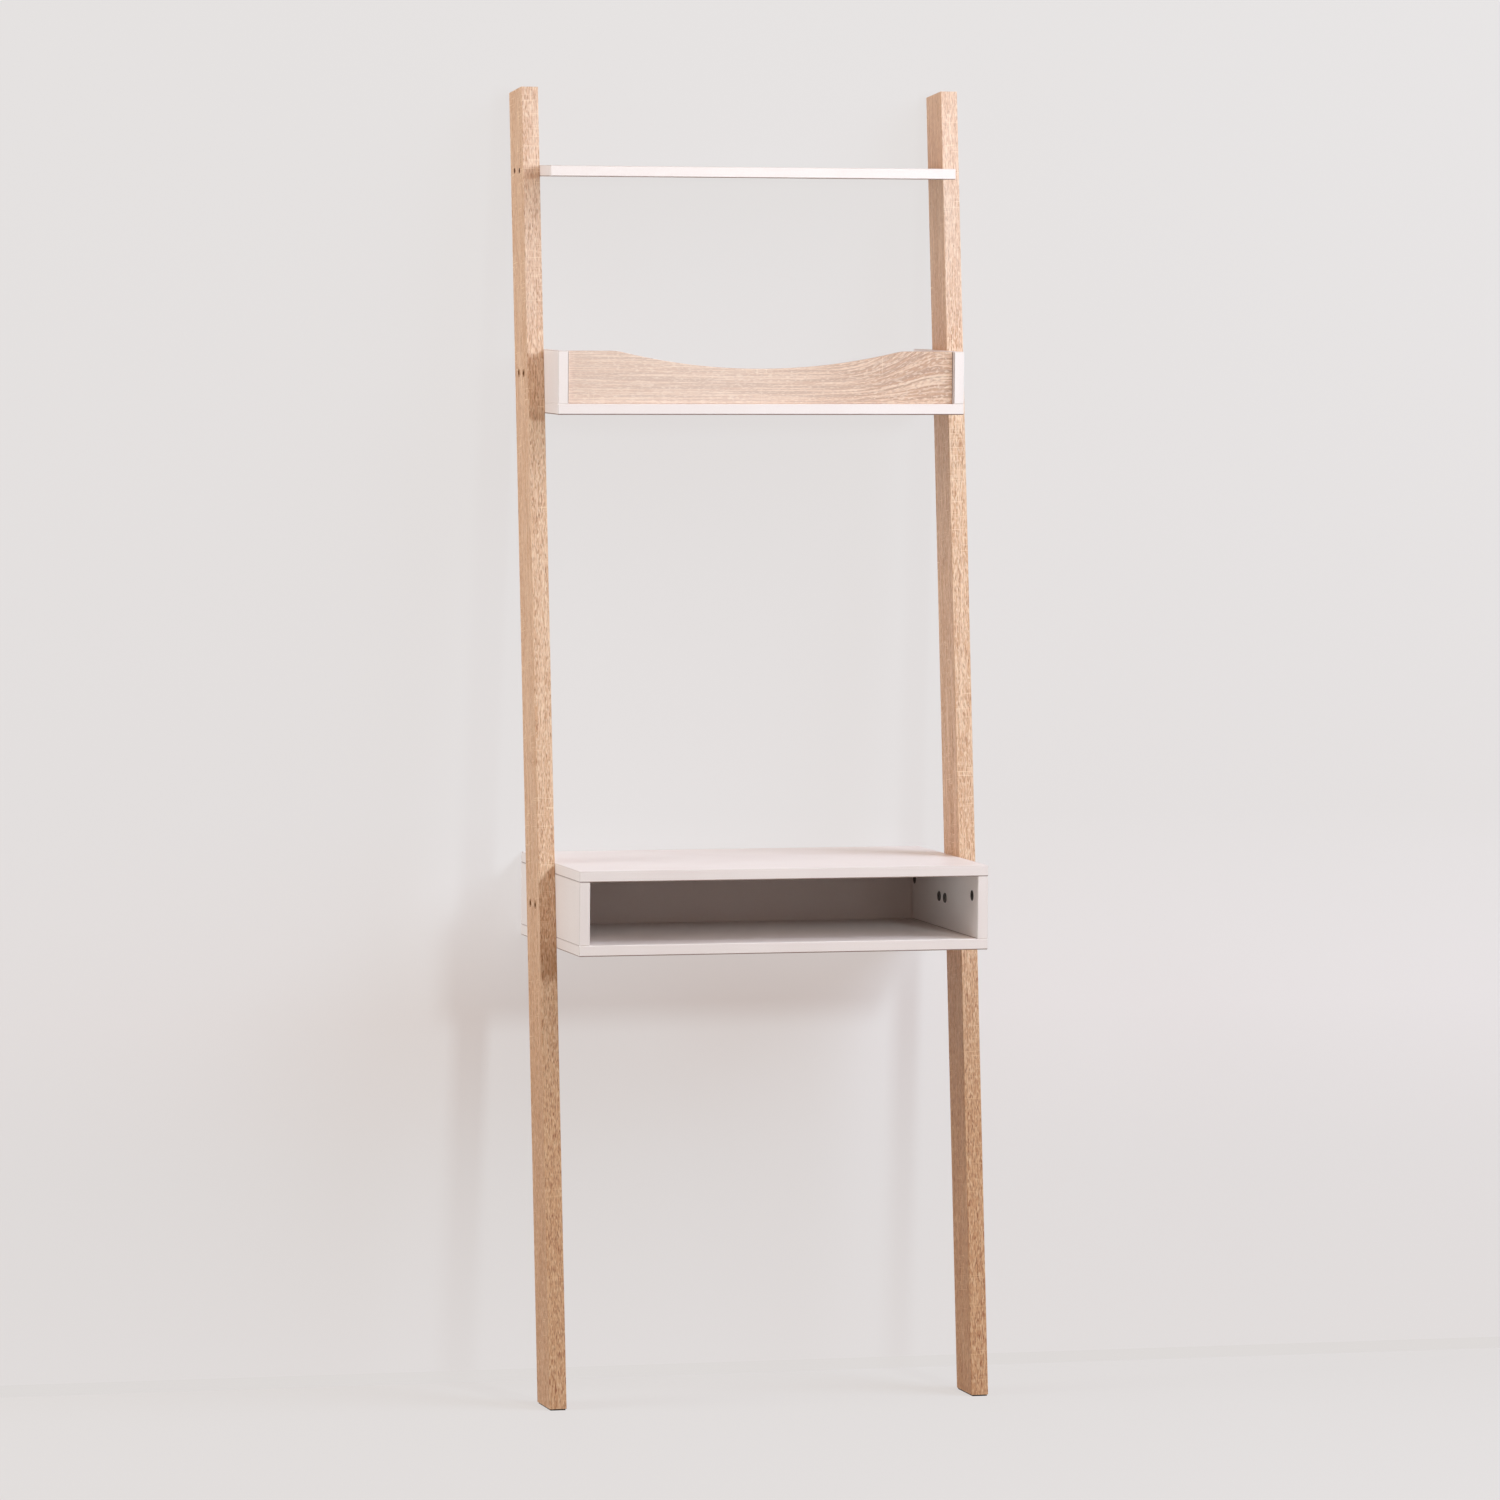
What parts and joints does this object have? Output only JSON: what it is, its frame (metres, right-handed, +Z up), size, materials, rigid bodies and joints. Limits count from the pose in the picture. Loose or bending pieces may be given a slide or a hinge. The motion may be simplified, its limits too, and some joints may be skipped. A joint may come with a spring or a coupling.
{
  "type": "ladder desk",
  "caption": "Narrow ladder desk that leans on a wall: an open desk box, a tray with a dipped front and a top shelf between two leaning rails.",
  "frame": {"origin": "on the floor, midway between the outer faces of the rails, and midway between the desk's front edge and the wall", "axes": "+Z up, +Y from the desk's front towards the wall, +X to the right seen from the front"},
  "size_m": [0.632, 0.336, 1.8219],
  "materials": {
    "oak_foil": "satin foil with a pale oak grain",
    "white_board": "satin white melamine on particle board",
    "rubber_pad": "matte",
    "bracket_steel": "zinc plated",
    "bronzed_screw": "bronzed",
    "zinc_fastener": "zinc plated",
    "insert_brass": "turned",
    "cam_metal": "die-cast, dark",
    "beech_dowel": "turned, fluted beech"
  },
  "bodies": {
    "root": {"left_rail": "oak_foil", "right_rail": "oak_foil", "left_foot_pad": "rubber_pad", "right_foot_pad": "rubber_pad", "top_shelf": "white_board", "tray_bottom": "white_board", "tray_left_side": "white_board", "tray_right_side": "white_board", "tray_front": "oak_foil", "desk_top": "white_board", "desk_bottom": "white_board", "desk_left_side": "white_board", "desk_right_side": "white_board", "desk_back": "white_board", "shelf_screws": "bronzed_screw", "tray_bolts": "zinc_fastener", "tray_rail_inserts": "insert_brass", "desk_bolts": "zinc_fastener", "desk_rail_inserts": "insert_brass", "tray_side_screws": "zinc_fastener", "tray_front_screws": "zinc_fastener", "tray_front_dowels": "beech_dowel", "desk_cam_locks": "cam_metal", "desk_cam_pins": "zinc_fastener", "desk_top_dowels": "beech_dowel", "desk_bottom_screws": "zinc_fastener", "desk_back_screws": "zinc_fastener", "desk_back_dowels": "beech_dowel", "left_wall_bracket": "bracket_steel", "right_wall_bracket": "bracket_steel", "wall_bracket_screws": "zinc_fastener"}
  },
  "joints": []
}
